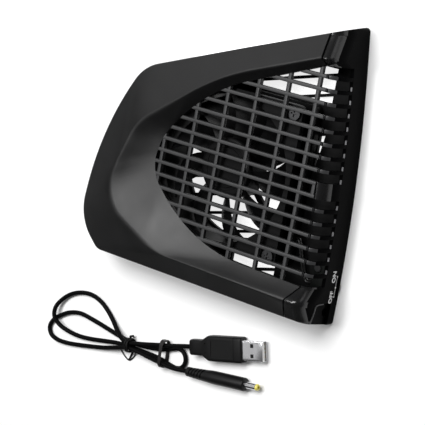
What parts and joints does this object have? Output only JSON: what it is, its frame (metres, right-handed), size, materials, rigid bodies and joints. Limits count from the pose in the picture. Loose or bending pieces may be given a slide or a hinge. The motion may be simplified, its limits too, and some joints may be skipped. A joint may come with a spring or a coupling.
{
  "type": "console cooling fan",
  "caption": "Flat five-sided cooling fan for the side of a game console: sunken slatted grille, gloss louvred end piece, slide switch, and a lead folded into a hank.",
  "frame": {"origin": "centre of the case's outline, on the plane of its back", "axes": "+X along the grille's slats towards the gloss end piece, +Y along the upright bars, +Z out of the grille"},
  "size_m": [0.2078, 0.2401, 0.035],
  "materials": {
    "shell_plastic": "fine matte texture",
    "gloss_plastic": "high gloss",
    "rubber": "matt",
    "fan_plastic": "satin",
    "steel": "plated",
    "dark_steel": "blackened",
    "bronze": "sintered",
    "ferrite": "bonded ferrite",
    "core_steel": "stacked sheets",
    "copper_wire": "enamelled copper",
    "board_dark": "solder mask",
    "clip_nylon": "plain",
    "plug_plastic": "satin moulding",
    "lead_black": "plain",
    "cord_jacket": "smooth soft jacket",
    "tie_black": "plain",
    "tie_grey": "plain",
    "tongue_white": "plain",
    "gold": "gold plated",
    "tip_yellow": "plain"
  },
  "bodies": {
    "casing": {"front_cover": "shell_plastic", "rear_cover": "shell_plastic", "end_cap": "gloss_plastic", "rubber_pads": "rubber", "fan_frame": "fan_plastic", "sleeve_bearing": "bronze", "stator_core": "core_steel", "stator_coils": "copper_wire", "motor_board": "board_dark", "fan_screws": "dark_steel", "case_screws": "dark_steel", "control_board": "board_dark", "board_screws": "dark_steel", "switch_body": "steel", "dc_jack": "plug_plastic", "jack_pin": "steel", "fan_leads": "lead_black", "cord": "cord_jacket", "cord_tie": "tie_black", "cord_band": "tie_grey", "usb_housing": "plug_plastic", "usb_shell": "steel", "usb_tongue": "tongue_white", "usb_contacts": "gold", "dc_plug_body": "plug_plastic", "dc_plug_relief": "plug_plastic", "dc_barrel": "steel", "dc_tip": "tip_yellow"},
    "rotor": {"fan_rotor": "fan_plastic", "rotor_shaft": "steel", "magnet_ring": "ferrite", "shaft_clip": "clip_nylon"},
    "knob": {"switch_knob": "gloss_plastic"}
  },
  "joints": [
    {"name": "fan_spin", "type": "hinge", "parent": "casing", "child": "rotor", "pos_m": [0.01107, -0.01035, 0.014], "axis": [0, 0, 1], "continuous": true},
    {"name": "switch_slide", "type": "slide", "parent": "casing", "child": "knob", "axis": [-0.0145, 0.9999, 0], "range_m": [-0.004, 0.004]}
  ]
}
